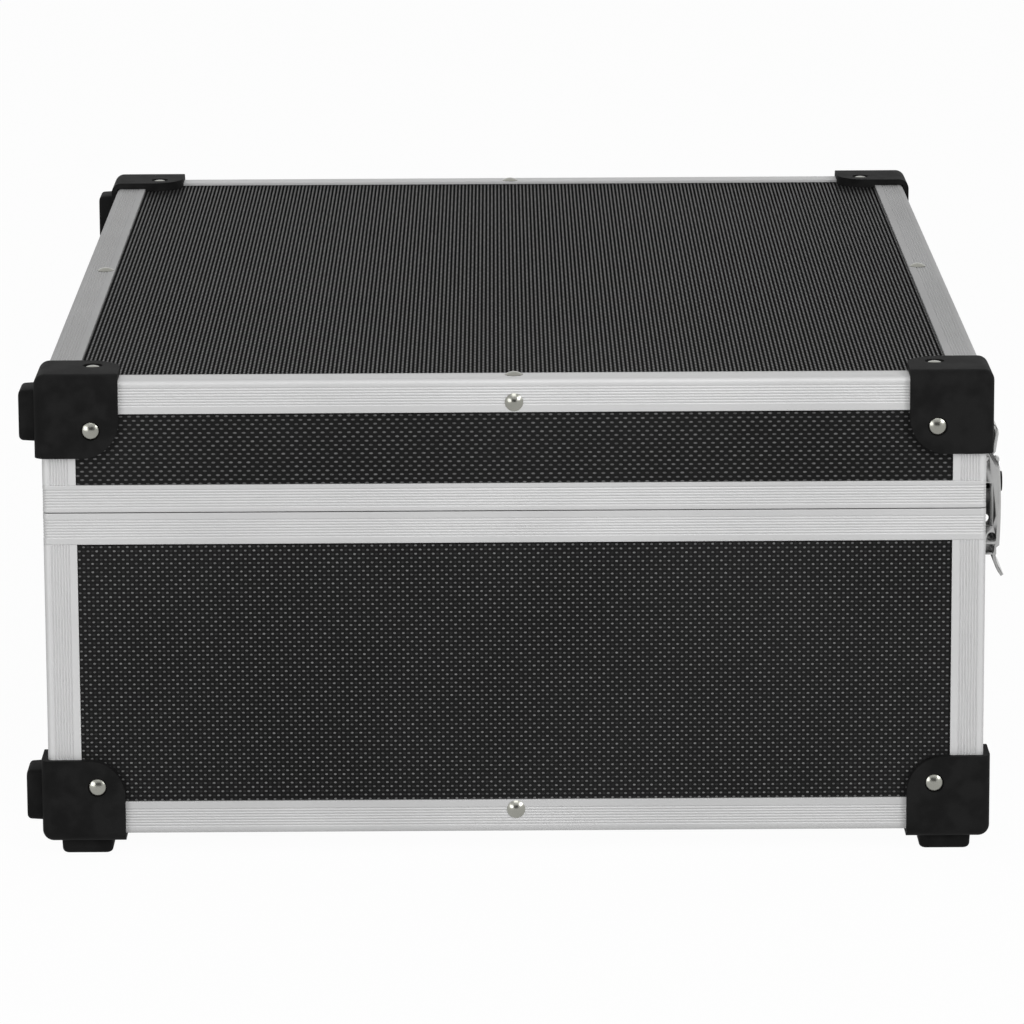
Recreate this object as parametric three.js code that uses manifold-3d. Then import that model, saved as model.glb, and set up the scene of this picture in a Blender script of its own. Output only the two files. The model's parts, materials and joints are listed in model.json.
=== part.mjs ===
import * as THREE from 'three';
import { mergeVertices } from 'three/addons/utils/BufferGeometryUtils.js';
import { RoundedBoxGeometry } from 'three/addons/geometries/RoundedBoxGeometry.js';
import Module from 'manifold-3d';

// Tool case with an aluminium edge frame, textured panels, moulded corner guards,
// two key latches on the front, two hinges and two slotted lid stays.
// Millimetres. X runs from the back (hinges) to the front (latches), Y along the case, Z up.

const wasm = await Module();
wasm.setup();

// The whole case
const caseWidth = 330;
const caseLength = 460;
const baseHeight = 116.1;
const lidHeight = 46.9;
const seamGap = 0.4;
const seatGap = 0.05;
const overrun = 1;

// Edge frame
const legWidth = 11.8;
const frameThickness = 1;
const frameCornerRadius = 1.6;
const grooveCount = 5;
const groovePitch = 1.2;
const grooveWidth = 0.6;
const grooveDepth = 0.25;
const baseRimHeight = 11.1;
const lidRimHeight = 9.6;
const rimInnerHeight = 8;
const tongueWidth = 1.2;
const tongueHeight = 2.2;
const tongueInset = 2.5;
const channelDepth = 3;

// Panels and lining
const panelThickness = 4;
const linerThickness = 1.5;
const linerGap = 0.3;

// Corner guards
const guardSize = 29.5;
const guardSkin = 2.4;
const guardEdgeRadius = 4;
const guardLeafRadius = 13;
const footSize = 18.6;
const footInset = 6.2;
const footHeight = 5.7;
const footCornerRadius = 3;
const footBevel = 1.2;

// Hinges
const hingeLength = 70;
const hingeSpacing = 230;
const hingeOut = 3.2;
const knuckleCount = 5;
const knuckleRadius = 2.6;
const knuckleGap = 0.3;
const hingePinRadius = 1.2;
const hingePinClearance = 0.15;
const hingeLeafThickness = 1.2;
const hingeLeafNotch = 3.3;
const hingeBaseLeafHeight = 11;
const hingeLidLeafHeight = 9.5;

// Lid stays
const stayReach = 46;
const stayDrop = 16;
const lidOpenAngle = 95;
const stayWidth = 10;
const stayThickness = 1.5;
const stayDepth = 7.6;
const stayStudRadius = 2;
const stayHeadRadius = 4;
const stayHeadThickness = 1.3;
const stayPlay = 0.4;
const stayPivotDepth = 2.4;

// Latches and handle: every place is a distance out from the frame's face and a height over the seam
const latchSpacing = 230;
const latchWidth = 34;
const sheetThickness = 1.2;
const latchPlateWidth = 30;
const latchPlateBottom = -43.2;
const latchPlateTop = -1;
const leverPivotOut = 7.5;
const leverPivotHeight = -2.2;
const leverEyeRadius = 3.4;
const throwRadius = 6.5;
const throwAngle = 12;
const pivotPinRadius = 1.5;
const pivotClearance = 0.2;
const earInset = 13.4;
const cheekInset = 15.8;
const coverOut = 13.6;
const coverBow = 0.8;
const coverBowHeight = -21;
const coverTop = -1.8;
const coverBottom = -35.4;
const coverEndBend = 0.9;
const coverCornerRadius = 2;
const coverNotchWidth = 25;
const coverNotchBottom = -10.2;
const flangeDepth = 3.9;
const flangeStepDepth = 2.1;
const flangeStepInset = 0.6;
const lugTop = -27.6;
const lugBottom = -34.4;
const lugReach = 8;
const lugEyeOut = 10.3;
const lugEyeHeight = -31.6;
const lugEyeRadius = 1.7;
const tailWidth = 28;
const tailRootOut = 6.5;
const tailRootHeight = -38.4;
const tailNeckOut = 12.1;
const tailOut = 15.2;
const tailBottom = -46.8;
const drawWidth = 22;
const drawEyeRadius = 2.5;
const drawOut = 13;
const drawNeckOut = 12;
const drawBend = -0.8;
const hookRadius = 5.2;
const hookTop = 11;
const hookSweep = 160;
const keeperWidth = 20;
const keeperTop = 8.8;
const keeperBottom = 1.2;
const keeperLipOut = 8;
const keeperLipTop = 9;
const lockHeight = -14.2;
const lockHeadRadius = 3.7;
const lockHeadOut = 15.2;
const lockBodyRadius = 2.8;
const lockBack = 6.5;
const lockSlotWidth = 0.9;
const lockSlotLength = 3.6;
const lockSlotDepth = 1.3;
const lockCamLength = 6;
const lockCamWidth = 3.4;

// Handle
const handleSpacing = 92;
const handlePivotOut = 6.8;
const handleArmWidth = 11.4;
const handleThickness = 10;
const handleBevel = 2;
const handleDrop = 35;
const handleGripHeight = 15;
const handleCornerRadius = 9;
const handleInnerRadius = 4;
const handleEyeRise = 4.2;
const bracketPinRadius = 2;
const bracketEarGap = 0.4;
const bracketWidth = 19;
const bracketHeight = 19;
const bracketRimGap = 1;
const bracketEyeRadius = 3.6;

// Worked out from the sizes above
const caseBottom = footHeight + guardSkin;
const caseHeight = baseHeight + lidHeight;
const caseTop = caseBottom + caseHeight;
const seam = caseBottom + baseHeight;
const baseRimTop = seam - seamGap / 2;
const lidRimBottom = seam + seamGap / 2;
const handlePivotHeight = -seamGap / 2 - baseRimHeight - bracketRimGap - bracketHeight / 2;
const panelDepth = frameThickness + seatGap;
const wallInside = panelDepth + panelThickness;
const rimInside = wallInside + seatGap + frameThickness;
const linerInside = wallInside + seatGap + linerThickness;
const front = caseWidth / 2;
const back = -caseWidth / 2;
const roundSides = 16;
const smallSides = 12;

const paints = {
  frame: { color: 0xc9cbcd, roughness: 0.35, metalness: 0.9 },
  panel: { color: 0x2b2c2e, roughness: 0.6, metalness: 0 },
  guard: { color: 0x1b1b1c, roughness: 0.5, metalness: 0 },
  liner: { color: 0x3a3b3d, roughness: 0.95, metalness: 0 },
  steel: { color: 0xc4c4c0, roughness: 0.25, metalness: 1 },
  lock: { color: 0x141415, roughness: 0.4, metalness: 0.2 },
  handle: { color: 0x1d1d1e, roughness: 0.55, metalness: 0 },
};

// Solids and boolean steps

function asSolid(geometry) {
  const plain = geometry.clone();
  plain.deleteAttribute('normal');
  plain.deleteAttribute('uv');
  const merged = mergeVertices(plain, 1e-4);
  const vertProperties = new Float32Array(merged.attributes.position.array);
  const triVerts = new Uint32Array(merged.index.array);
  return new wasm.Manifold(new wasm.Mesh({ numProp: 3, vertProperties, triVerts }));
}

function asGeometry(solid) {
  const mesh = solid.getMesh();
  const geometry = new THREE.BufferGeometry();
  geometry.setAttribute('position', new THREE.BufferAttribute(new Float32Array(mesh.vertProperties), 3));
  geometry.setIndex(new THREE.BufferAttribute(new Uint32Array(mesh.triVerts), 1));
  return geometry;
}

function join(...parts) {
  return parts.reduce((whole, part) => whole.add(part));
}

function cut(whole, ...tools) {
  return tools.reduce((rest, tool) => rest.subtract(tool), whole);
}

function block(x0, x1, y0, y1, z0, z1) {
  const geometry = new THREE.BoxGeometry(Math.abs(x1 - x0), Math.abs(y1 - y0), Math.abs(z1 - z0));
  geometry.translate((x0 + x1) / 2, (y0 + y1) / 2, (z0 + z1) / 2);
  return asSolid(geometry);
}

function extruded(points, depth, bevel) {
  const shape = new THREE.Shape(points.map(([u, v]) => new THREE.Vector2(u, v)));
  const size = bevel ? bevel : 0;
  return new THREE.ExtrudeGeometry(shape, {
    depth: depth - 2 * size,
    bevelEnabled: size > 0,
    bevelSize: size,
    bevelThickness: size,
    bevelOffset: -size,
    bevelSegments: 3,
    steps: 1,
  }).translate(0, 0, size);
}

// Outlines are given as pairs along the two other axes, in X, Y, Z order
function alongX(points, x0, x1, bevel) {
  const geometry = extruded(points, x1 - x0, bevel);
  const turn = new THREE.Matrix4().makeBasis(
    new THREE.Vector3(0, 1, 0),
    new THREE.Vector3(0, 0, 1),
    new THREE.Vector3(1, 0, 0),
  );
  return asSolid(geometry.applyMatrix4(turn).translate(x0, 0, 0));
}

function alongY(points, y0, y1, bevel) {
  const geometry = extruded(points, y1 - y0, bevel).rotateX(Math.PI / 2);
  return asSolid(geometry.translate(0, y1, 0));
}

function alongZ(points, z0, z1, bevel) {
  return asSolid(extruded(points, z1 - z0, bevel).translate(0, 0, z0));
}

// Outlines

function arc(centreU, centreV, radius, fromDegrees, toDegrees, steps) {
  const points = [];
  for (let i = 0; i <= steps; i += 1) {
    const angle = THREE.MathUtils.degToRad(fromDegrees + ((toDegrees - fromDegrees) * i) / steps);
    points.push([centreU + radius * Math.cos(angle), centreV + radius * Math.sin(angle)]);
  }
  return points;
}

function circle(centreU, centreV, radius, sides = roundSides) {
  const halfStep = 180 / sides;
  return arc(centreU, centreV, radius, halfStep, 360 + halfStep, sides).slice(0, -1);
}

// Rectangle with its own radius at each corner, from low-low round to low-high
function roundedRectangle(u0, u1, v0, v1, radii, steps = 3) {
  const [a, b, c, d] = radii;
  const corner = (u, v, radius, from) => (radius > 0 ? arc(u, v, radius, from, from + 90, steps) : [[u, v]]);
  return [
    ...corner(u0 + a, v0 + a, a, 180),
    ...corner(u1 - b, v0 + b, b, 270),
    ...corner(u1 - c, v1 - c, c, 0),
    ...corner(u0 + d, v1 - d, d, 90),
  ];
}

function stadium(middleU, v0, v1, radius, steps = 6) {
  return [
    ...arc(middleU, v1 - radius, radius, 0, 180, steps),
    ...arc(middleU, v0 + radius, radius, 180, 360, steps),
  ];
}

function hull(points) {
  const sorted = [...points].sort((p, q) => p[0] - q[0] || p[1] - q[1]);
  const turn = (o, a, b) => (a[0] - o[0]) * (b[1] - o[1]) - (a[1] - o[1]) * (b[0] - o[0]);
  const half = (list) => {
    const chain = [];
    for (const point of list) {
      while (chain.length > 1 && turn(chain.at(-2), chain.at(-1), point) <= 0) chain.pop();
      chain.push(point);
    }
    return chain.slice(0, -1);
  };
  return [...half(sorted), ...half(sorted.reverse())];
}

// A bent strip: the outline of a sheet whose middle follows the path
function strip(path, thickness) {
  const left = [];
  const right = [];
  path.forEach(([u, v], i) => {
    const before = path[Math.max(i - 1, 0)];
    const after = path[Math.min(i + 1, path.length - 1)];
    const into = new THREE.Vector2(u - before[0], v - before[1]).normalize();
    const out = new THREE.Vector2(after[0] - u, after[1] - v).normalize();
    if (i === 0) into.copy(out);
    if (i === path.length - 1) out.copy(into);
    const middle = into.clone().add(out).normalize();
    const reach = thickness / 2 / middle.dot(into);
    left.push([u - middle.y * reach, v + middle.x * reach]);
    right.push([u + middle.y * reach, v - middle.x * reach]);
  });
  return [...left, ...right.reverse()];
}

// Model tree

const toolCase = new THREE.Group();
toolCase.name = 'tool_case';

function addPiece(name, solid, paint) {
  const flat = asGeometry(solid).toNonIndexed();
  flat.computeVertexNormals();
  const mesh = new THREE.Mesh(flat, new THREE.MeshStandardMaterial(paints[paint]));
  mesh.name = name;
  toolCase.add(mesh);
}

// Panels

function addPanels() {
  const x = front - panelDepth;
  const y = caseLength / 2 - panelDepth;
  const xInner = front - wallInside;
  const yInner = caseLength / 2 - wallInside;
  const shells = [
    {
      shell: 'base',
      flat: 'bottom_panel',
      z: [caseBottom + panelDepth, caseBottom + wallInside],
      wall: [caseBottom + wallInside + seatGap, baseRimTop - frameThickness - seatGap],
    },
    {
      shell: 'lid',
      flat: 'lid_panel',
      z: [caseTop - wallInside, caseTop - panelDepth],
      wall: [lidRimBottom + channelDepth + frameThickness + seatGap, caseTop - wallInside - seatGap],
    },
  ];
  for (const { shell, flat, z, wall } of shells) {
    addPiece(flat, block(-x, x, -y, y, ...z), 'panel');
    addPiece(`${shell}_wall_front`, block(xInner, x, -y, y, ...wall), 'panel');
    addPiece(`${shell}_wall_back`, block(-x, -xInner, -y, y, ...wall), 'panel');
    for (const [side, sign] of [['near', -1], ['far', 1]]) {
      const ends = [sign * yInner, sign * y];
      let board = block(-xInner + seatGap, xInner - seatGap, ...ends, ...wall);
      if (shell === 'lid') board = cut(board, stayScrewHole(sign));
      addPiece(`${shell}_wall_${side}`, board, 'panel');
    }
  }
}

function stayScrewHole(sign) {
  const [x, z] = stayLidPivot();
  const hole = circle(x, z, stayStudRadius + pivotClearance, smallSides);
  const mouth = caseLength / 2 - wallInside - overrun;
  const bottom = caseLength / 2 - wallInside + stayPivotDepth + pivotClearance;
  return sign > 0 ? alongY(hole, mouth, bottom) : alongY(hole, -bottom, -mouth);
}

// Edge frame: angle profiles with fine grooves down the middle of each leg

function angleOutline() {
  const leg = [];
  const firstGroove = legWidth / 2 - ((grooveCount - 1) / 2) * groovePitch;
  for (let i = 0; i < grooveCount; i += 1) {
    const middle = firstGroove + i * groovePitch;
    leg.push([middle - grooveWidth / 2, 0], [middle, grooveDepth], [middle + grooveWidth / 2, 0]);
  }
  const otherLeg = leg.map(([along, deep]) => [deep, along]);
  return [
    [legWidth, 0],
    ...leg.reverse(),
    ...arc(frameCornerRadius, frameCornerRadius, frameCornerRadius, 270, 180, 3),
    ...otherLeg,
    [0, legWidth],
    [frameThickness, legWidth],
    [frameThickness, frameThickness],
    [legWidth, frameThickness],
  ];
}

function addEdges() {
  const outline = angleOutline();
  const halfLength = caseLength / 2 - legWidth;
  const halfWidth = front - legWidth;
  for (const [row, z, up] of [['bottom', caseBottom, 1], ['top', caseTop, -1]]) {
    for (const [side, sign] of [['front', 1], ['back', -1]]) {
      const section = outline.map(([p, q]) => [sign * (front - p), z + up * q]);
      addPiece(`${row}_edge_${side}`, alongY(section, -halfLength, halfLength), 'frame');
    }
    for (const [side, sign] of [['near', -1], ['far', 1]]) {
      const section = outline.map(([p, q]) => [sign * (caseLength / 2 - p), z + up * q]);
      addPiece(`${row}_edge_${side}`, alongX(section, -halfWidth, halfWidth), 'frame');
    }
  }
  const posts = [
    ['base', caseBottom + legWidth, baseRimTop - baseRimHeight - seatGap],
    ['lid', lidRimBottom + lidRimHeight + seatGap, caseTop - legWidth],
  ];
  for (const [shell, z0, z1] of posts) {
    for (const [end, signY] of [['near', -1], ['far', 1]]) {
      for (const [side, signX] of [['front', 1], ['back', -1]]) {
        const section = outline.map(([p, q]) => [signX * (front - p), signY * (caseLength / 2 - q)]);
        addPiece(`${shell}_post_${end}_${side}`, alongZ(section, z0, z1), 'frame');
      }
    }
  }
}

// Rims: one closed ring on each shell, with a tongue that closes into a channel

function rectangleAt(inset, radius) {
  const x = front - inset;
  const y = caseLength / 2 - inset;
  return roundedRectangle(-x, x, -y, y, [radius, radius, radius, radius]);
}

function ring(outerInset, innerInset, z0, z1, radius) {
  const outer = alongZ(rectangleAt(outerInset, radius), z0, z1);
  return cut(outer, alongZ(rectangleAt(innerInset, 0), z0 - overrun, z1 + overrun));
}

function rimGrooves(z0, z1, solid) {
  const middle = (z0 + z1) / 2;
  const notch = (across) => [
    [-grooveDepth, across],
    [overrun, across - grooveWidth / 2 - (grooveWidth / 2 / grooveDepth) * overrun],
    [overrun, across + grooveWidth / 2 + (grooveWidth / 2 / grooveDepth) * overrun],
  ];
  let grooved = solid;
  for (let i = 0; i < grooveCount; i += 1) {
    const z = middle + (i - (grooveCount - 1) / 2) * groovePitch;
    for (const sign of [-1, 1]) {
      const sideCut = notch(z).map(([out, height]) => [sign * (front + out), height]);
      const endCut = notch(z).map(([out, height]) => [sign * (caseLength / 2 + out), height]);
      const ends = caseLength / 2 + overrun;
      grooved = cut(grooved, alongY(sideCut, -ends, ends));
      grooved = cut(grooved, alongX(endCut, back - overrun, front + overrun));
    }
  }
  return grooved;
}

function addRims() {
  const legDepth = rimInside - frameThickness;
  const baseFoot = baseRimTop - baseRimHeight;
  const tongueInner = tongueInset + tongueWidth;
  const baseRim = join(
    ring(0, frameThickness, baseFoot, baseRimTop, frameCornerRadius),
    ring(frameThickness / 2, rimInside, baseRimTop - frameThickness, baseRimTop, 0),
    ring(legDepth, rimInside, baseRimTop - rimInnerHeight, baseRimTop, 0),
    ring(tongueInset, tongueInner, baseRimTop - frameThickness / 2, baseRimTop + tongueHeight, 0),
  );
  addPiece('base_rim', rimGrooves(baseFoot, baseRimTop, baseRim), 'frame');

  const lidHead = lidRimBottom + lidRimHeight;
  const webTop = lidRimBottom + channelDepth + frameThickness;
  const lidRim = join(
    ring(0, frameThickness, lidRimBottom, lidHead, frameCornerRadius),
    ring(frameThickness / 2, rimInside, lidRimBottom + channelDepth, webTop, 0),
    ring(legDepth, rimInside, lidRimBottom, lidRimBottom + rimInnerHeight, 0),
  );
  addPiece('lid_rim', rimGrooves(lidRimBottom, lidHead, lidRim), 'frame');
}

// Corner guards, built once with every axis pointing into the case, then turned to each corner

function guardSolid(footBelow, footBehind) {
  const reach = guardSize - guardSkin;
  const span = 2 * guardSize;
  const rounded = new RoundedBoxGeometry(span, span, span, 3, guardEdgeRadius);
  rounded.translate(guardSize - guardSkin, guardSize - guardSkin, guardSize - guardSkin);
  const outline = roundedRectangle(-guardSkin, reach, -guardSkin, reach, [0, 2, guardLeafRadius, 2], 5);
  const leaves = join(
    alongX(outline, -guardSkin, frameThickness),
    alongY(outline, -guardSkin, frameThickness),
    alongZ(outline, -guardSkin, frameThickness),
  );
  const near = -seatGap;
  const far = legWidth + seatGap;
  const start = legWidth - seatGap;
  const skinned = cut(
    leaves.intersect(asSolid(rounded)),
    block(start, span, near, far, near, far),
    block(near, far, start, span, near, far),
    block(near, far, near, far, start, span),
  );
  const low = footInset - guardSkin;
  const high = low + footSize;
  const radii = Array(4).fill(footCornerRadius);
  const pad = roundedRectangle(low, high, low, high, radii);
  const from = -guardSkin - footHeight;
  const to = -guardSkin / 2 + footBevel;
  const trim = block(-guardSkin / 2, span, -guardSkin / 2, span, -guardSkin / 2, span);
  let whole = skinned;
  if (footBelow) whole = join(whole, cut(alongZ(pad, from, to, footBevel), trim));
  if (footBehind) whole = join(whole, cut(alongX(pad, from, to, footBevel), trim));
  return whole;
}

function turnedToCorner(solid, signX, signY, signZ) {
  const mesh = solid.getMesh();
  const corner = [signX * front, (signY * caseLength) / 2, signZ > 0 ? caseTop : caseBottom];
  const signs = [signX, signY, signZ];
  const vertProperties = new Float32Array(mesh.vertProperties);
  for (let i = 0; i < vertProperties.length; i += 1) {
    vertProperties[i] = corner[i % 3] - signs[i % 3] * vertProperties[i];
  }
  const triVerts = new Uint32Array(mesh.triVerts);
  if (signX * signY * signZ > 0) {
    for (let i = 0; i < triVerts.length; i += 3) {
      [triVerts[i + 1], triVerts[i + 2]] = [triVerts[i + 2], triVerts[i + 1]];
    }
  }
  return new wasm.Manifold(new wasm.Mesh({ numProp: 3, vertProperties, triVerts }));
}

function addGuards() {
  for (const [shell, signZ] of [['bottom', -1], ['top', 1]]) {
    for (const [side, signX] of [['front', 1], ['back', -1]]) {
      const guard = guardSolid(signZ < 0, signX < 0);
      for (const [end, signY] of [['near', -1], ['far', 1]]) {
        addPiece(`${shell}_guard_${end}_${side}`, turnedToCorner(guard, signX, signY, signZ), 'guard');
      }
    }
  }
}

// Hinges: base leaves carry the pin, lid leaves turn on it

function hingeLeaf(y, ofLid) {
  const axisX = back - hingeOut;
  const up = ofLid ? 1 : -1;
  const height = ofLid ? hingeLidLeafHeight : hingeBaseLeafHeight;
  const x0 = back - seatGap - hingeLeafThickness;
  const x1 = back - seatGap;
  const start = y - hingeLength / 2;
  const plate = roundedRectangle(start, start + hingeLength, hingeLeafNotch, height, [0, 0, 2, 2]);
  let leaf = alongX(plate.map(([along, rise]) => [along, seam + up * rise]), x0, x1);
  const pitch = hingeLength / knuckleCount;
  for (let i = ofLid ? 1 : 0; i < knuckleCount; i += 2) {
    const y0 = start + i * pitch + knuckleGap / 2;
    const y1 = y0 + pitch - knuckleGap;
    const tabEnds = [seam, seam + up * (hingeLeafNotch + overrun)];
    leaf = join(
      leaf,
      alongY(circle(axisX, seam, knuckleRadius), y0, y1),
      block(x0, x1, y0, y1, ...tabEnds),
      block(axisX + knuckleRadius / 2, x1, y0, y1, seam, seam + (up * knuckleRadius) / 2),
    );
  }
  const bore = hingePinRadius + hingePinClearance;
  const boreCut = circle(axisX, seam, bore, smallSides);
  if (ofLid) return cut(leaf, alongY(boreCut, start - overrun, start + hingeLength + overrun));
  const pin = circle(axisX, seam, hingePinRadius, smallSides);
  return join(leaf, alongY(pin, start + knuckleGap, start + hingeLength - knuckleGap));
}

function addHinges() {
  for (const [end, sign] of [['near', -1], ['far', 1]]) {
    const y = (sign * hingeSpacing) / 2;
    addPiece(`hinge_base_leaf_${end}`, hingeLeaf(y, false), 'steel');
    addPiece(`hinge_lid_leaf_${end}`, hingeLeaf(y, true), 'steel');
  }
}

// Lid stays: a slotted bar turns on the lid and slides over a stud on the base.
// Stud and pivot lie equally far from the hinge axis, so the bar turns half as far as the lid.

function stayBaseStud() {
  return [back - hingeOut + stayReach, seam - stayDrop];
}

function stayLidPivot() {
  return [back - hingeOut + stayReach, seam + stayDrop];
}

function stayTravel() {
  const arm = Math.hypot(stayReach, stayDrop);
  const closed = 2 * Math.atan2(stayDrop, stayReach);
  const open = closed + THREE.MathUtils.degToRad(lidOpenAngle);
  return [2 * arm * Math.sin(closed / 2), 2 * arm * Math.sin(open / 2)];
}

function acrossEnd(points, sign, depth0, depth1) {
  const y0 = caseLength / 2 - depth0;
  const y1 = caseLength / 2 - depth1;
  return sign > 0 ? alongY(points, y1, y0) : alongY(points, -y0, -y1);
}

function addStays() {
  const [studX, studZ] = stayBaseStud();
  const [pivotX, pivotZ] = stayLidPivot();
  const [closed, open] = stayTravel();
  const barInner = stayDepth + stayThickness;
  const half = stayWidth / 2;
  const slotHalf = stayStudRadius + stayPlay;
  const slotTop = pivotZ - closed + slotHalf;
  const slotBottom = pivotZ - open - slotHalf;
  const end = slotBottom - half + slotHalf;
  const barOutline = stadium(pivotX, end, pivotZ + half, half);
  const slot = stadium(pivotX, slotBottom, slotTop, slotHalf);
  for (const [side, sign] of [['near', -1], ['far', 1]]) {
    const flat = acrossEnd(barOutline, sign, stayDepth, barInner);
    const slotCut = acrossEnd(slot, sign, stayDepth - overrun, barInner + overrun);
    const shank = circle(pivotX, pivotZ, stayStudRadius, smallSides);
    const head = circle(pivotX, pivotZ, stayHeadRadius);
    const screw = join(
      acrossEnd(shank, sign, wallInside - stayPivotDepth, barInner),
      acrossEnd(head, sign, barInner - stayThickness / 2, barInner + stayHeadThickness),
    );
    addPiece(`stay_bar_${side}`, join(cut(flat, slotCut), screw), 'steel');

    const studHead = barInner + stayPlay;
    const stud = join(
      acrossEnd(circle(studX, studZ, stayHeadRadius), sign, wallInside + seatGap, stayDepth - stayPlay),
      acrossEnd(circle(studX, studZ, stayStudRadius, smallSides), sign, wallInside + seatGap, studHead),
      acrossEnd(circle(studX, studZ, stayHeadRadius), sign, studHead, studHead + stayHeadThickness),
    );
    addPiece(`stay_stud_${side}`, stud, 'steel');
  }
}

// Lining: an open tray in each shell, holed for the stays

function addLiners() {
  const outerX = front - wallInside - seatGap;
  const outerY = caseLength / 2 - wallInside - seatGap;
  const innerX = front - linerInside;
  const innerY = caseLength / 2 - linerInside;
  const floor = caseBottom + wallInside + seatGap;
  const baseMouth = baseRimTop - rimInnerHeight - linerGap;
  const ceiling = caseTop - wallInside - seatGap;
  const lidMouth = lidRimBottom + rimInnerHeight + linerGap;
  let baseLiner = cut(
    block(-outerX, outerX, -outerY, outerY, floor, baseMouth),
    block(-innerX, innerX, -innerY, innerY, floor + linerThickness, baseMouth + overrun),
  );
  let lidLiner = cut(
    block(-outerX, outerX, -outerY, outerY, lidMouth, ceiling),
    block(-innerX, innerX, -innerY, innerY, lidMouth - overrun, ceiling - linerThickness),
  );
  const hole = stayHeadRadius + stayPlay;
  for (const sign of [-1, 1]) {
    const studHole = acrossEnd(circle(...stayBaseStud(), hole), sign, panelDepth, linerInside + overrun);
    const pivotHole = acrossEnd(circle(...stayLidPivot(), hole), sign, panelDepth, linerInside + overrun);
    baseLiner = cut(baseLiner, studHole);
    lidLiner = cut(lidLiner, pivotHole);
  }
  addPiece('base_liner', baseLiner, 'liner');
  addPiece('lid_liner', lidLiner, 'liner');
}

// Latches. Outlines hold distance out from the frame's face and height over the seam.

function onFront(points) {
  return points.map(([out, height]) => [front + out, seam + height]);
}

function overSeam(points) {
  return points.map(([along, height]) => [along, seam + height]);
}

function pairAt(y, outline, inset, thickness) {
  const placed = onFront(outline);
  return join(
    alongY(placed, y + inset, y + inset + thickness),
    alongY(placed, y - inset - thickness, y - inset),
  );
}

function latchThrow() {
  const angle = THREE.MathUtils.degToRad(throwAngle);
  return [
    leverPivotOut - throwRadius * Math.sin(angle),
    leverPivotHeight - throwRadius * Math.cos(angle),
  ];
}

function latchBase(y) {
  const outer = seatGap + sheetThickness;
  const half = latchPlateWidth / 2;
  const corners = [coverCornerRadius, coverCornerRadius, 0, 0];
  const plate = roundedRectangle(y - half, y + half, latchPlateBottom, latchPlateTop, corners);
  const sheet = alongX(overSeam(plate), front + seatGap, front + outer);
  const eye = circle(leverPivotOut, leverPivotHeight, leverEyeRadius, smallSides);
  const root = seatGap + sheetThickness / 2;
  const ear = hull([...eye, [root, leverPivotHeight - leverEyeRadius], [root, latchPlateTop]]);
  const stub = circle(leverPivotOut, leverPivotHeight, pivotPinRadius, smallSides);
  const stubLength = cheekInset + sheetThickness - earInset;
  return join(
    sheet,
    pairAt(y, ear, earInset, sheetThickness),
    pairAt(y, stub, earInset, stubLength),
  );
}

// The middle of the bowed cover sheet at a height
function coverMiddleAt(height) {
  const reach = Math.max(coverTop - coverBowHeight, coverBowHeight - coverBottom);
  const share = (height - coverBowHeight) / reach;
  return coverOut - sheetThickness / 2 - coverBow * share * share;
}

function coverPath(from, to, steps) {
  const path = [];
  for (let i = 0; i <= steps; i += 1) {
    const height = from + ((to - from) * i) / steps;
    path.push([coverMiddleAt(height), height]);
  }
  return path;
}

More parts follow.
